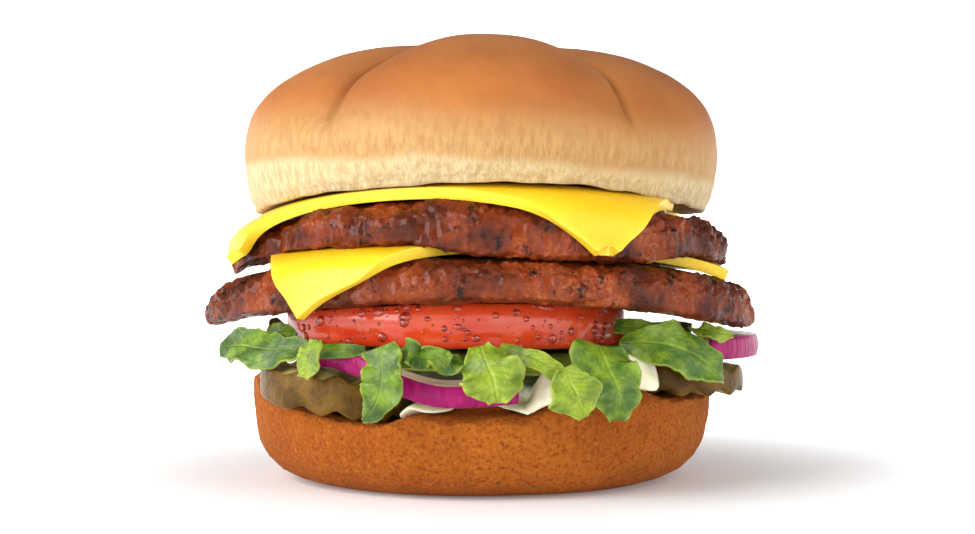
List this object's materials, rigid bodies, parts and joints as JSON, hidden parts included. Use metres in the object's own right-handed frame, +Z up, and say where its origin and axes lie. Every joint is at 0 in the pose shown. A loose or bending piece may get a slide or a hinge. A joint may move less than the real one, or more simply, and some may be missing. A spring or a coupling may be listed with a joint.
{
  "type": "double cheeseburger",
  "caption": "Double cheeseburger in a lobed crown bun, with draped cheese slices, tomato, lettuce, red onion, pickles and mayonnaise, resting on its flat heel",
  "frame": {"origin": "middle of the heel's flat base, on the surface it rests on", "axes": "+Z up through the stack, -Y towards the front that shows the hanging cheese corners, +X to the right seen from the front"},
  "size_m": [0.1258, 0.1204, 0.0992],
  "materials": {
    "crust": "soft toasted bread crust, satin",
    "heel_crumb": "golden brown porous bread",
    "beef": "rough seared beef, glossy with fat",
    "cheese": "smooth softened cheese",
    "tomato": "wet tomato skin",
    "mayonnaise": "smooth glossy sauce",
    "pickle": "wet pickled cucumber",
    "onion": "smooth red onion skin",
    "lettuce": "crisp lettuce leaf"
  },
  "bodies": {
    "root": {"crown": "crust", "heel": "heel_crumb", "patty_upper": "beef", "patty_lower": "beef", "cheese_upper": "cheese", "cheese_lower": "cheese", "tomato": "tomato", "mayonnaise": "mayonnaise", "pickle_left": "pickle", "pickle_right": "pickle", "onion_front": "onion", "onion_right": "onion", "lettuce_bed": "lettuce", "lettuce_left": "lettuce", "lettuce_left_back": "lettuce", "lettuce_left_shred": "lettuce", "lettuce_hanging_strip": "lettuce", "lettuce_curl": "lettuce", "lettuce_middle": "lettuce", "lettuce_thin_shred": "lettuce", "lettuce_right_lower": "lettuce", "lettuce_right_upper": "lettuce", "lettuce_right": "lettuce", "lettuce_tucked": "lettuce", "lettuce_far_right": "lettuce"}
  },
  "joints": []
}
